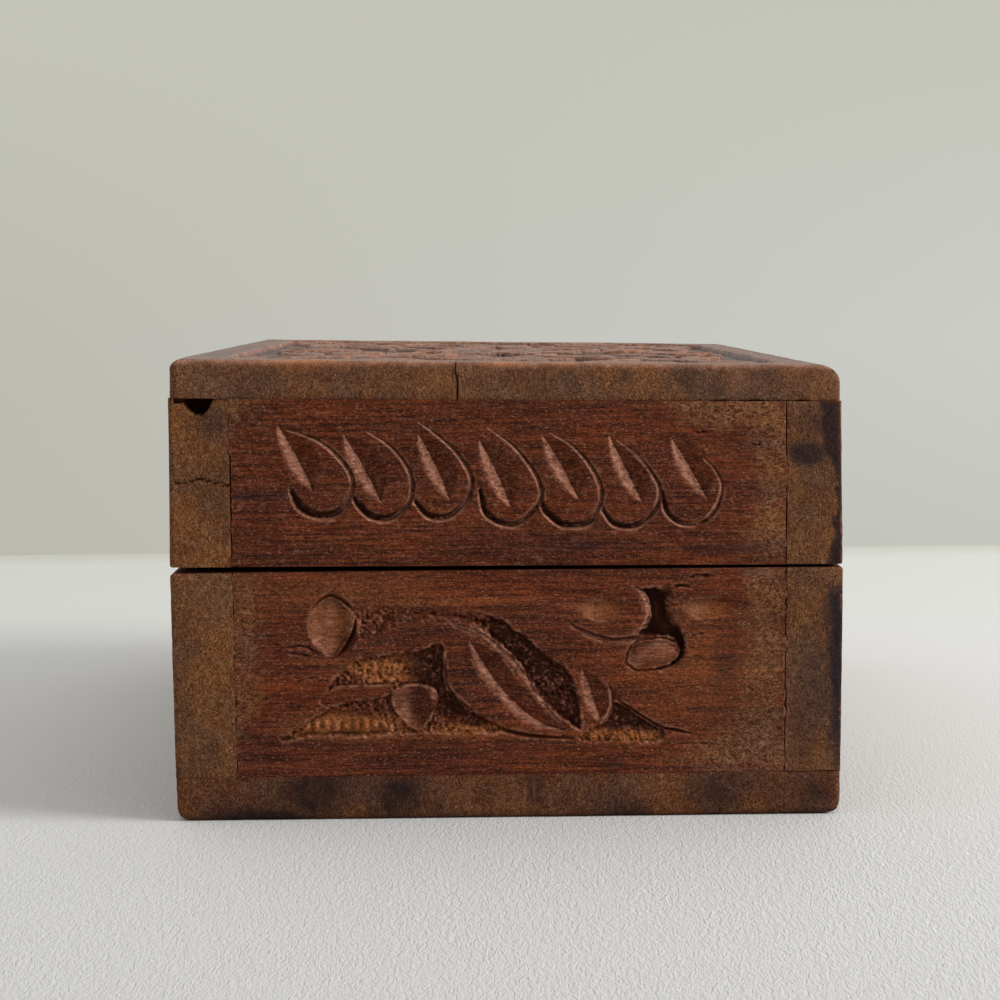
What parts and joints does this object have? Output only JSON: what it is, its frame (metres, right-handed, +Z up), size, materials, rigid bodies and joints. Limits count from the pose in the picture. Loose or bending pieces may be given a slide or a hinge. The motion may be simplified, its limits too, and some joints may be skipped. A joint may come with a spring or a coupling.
{
  "type": "jewelry box",
  "caption": "Rectangular hardwood keepsake box with carved faces, butt-jointed boards and a deep lid on brass butt hinges.",
  "frame": {"origin": "centre of the underside that the box stands on", "axes": "+X along the length of the box, -Y towards the front where the lid is lifted, +Z up"},
  "size_m": [0.1524, 0.1027, 0.0701],
  "materials": {
    "carved_wood": "carved, oiled and worn, dark red-brown",
    "plain_wood": "planed, oiled and worn, dark brown",
    "hinge_brass": "tarnished brass",
    "brad_wire": "darkened iron wire"
  },
  "bodies": {
    "base": {"bottom_board": "plain_wood", "base_front_board": "carved_wood", "base_back_board": "plain_wood", "base_left_panel": "carved_wood", "base_right_panel": "carved_wood", "base_corner_brads": "brad_wire", "bottom_board_brads": "brad_wire", "left_hinge_base_leaf": "hinge_brass", "left_hinge_base_screws": "hinge_brass", "left_hinge_pin": "hinge_brass", "right_hinge_base_leaf": "hinge_brass", "right_hinge_base_screws": "hinge_brass", "right_hinge_pin": "hinge_brass"},
    "lid": {"top_board": "carved_wood", "lid_front_board": "carved_wood", "lid_back_board": "plain_wood", "lid_left_panel": "carved_wood", "lid_right_panel": "carved_wood", "lid_corner_brads": "brad_wire", "left_hinge_lid_leaf": "hinge_brass", "left_hinge_lid_screws": "hinge_brass", "right_hinge_lid_leaf": "hinge_brass", "right_hinge_lid_screws": "hinge_brass"}
  },
  "joints": [
    {"name": "lid_open", "type": "hinge", "parent": "base", "child": "lid", "pos_m": [0, 0.0502, 0.03825], "axis": [-1, 0, 0], "range_deg": [0, 110]}
  ]
}
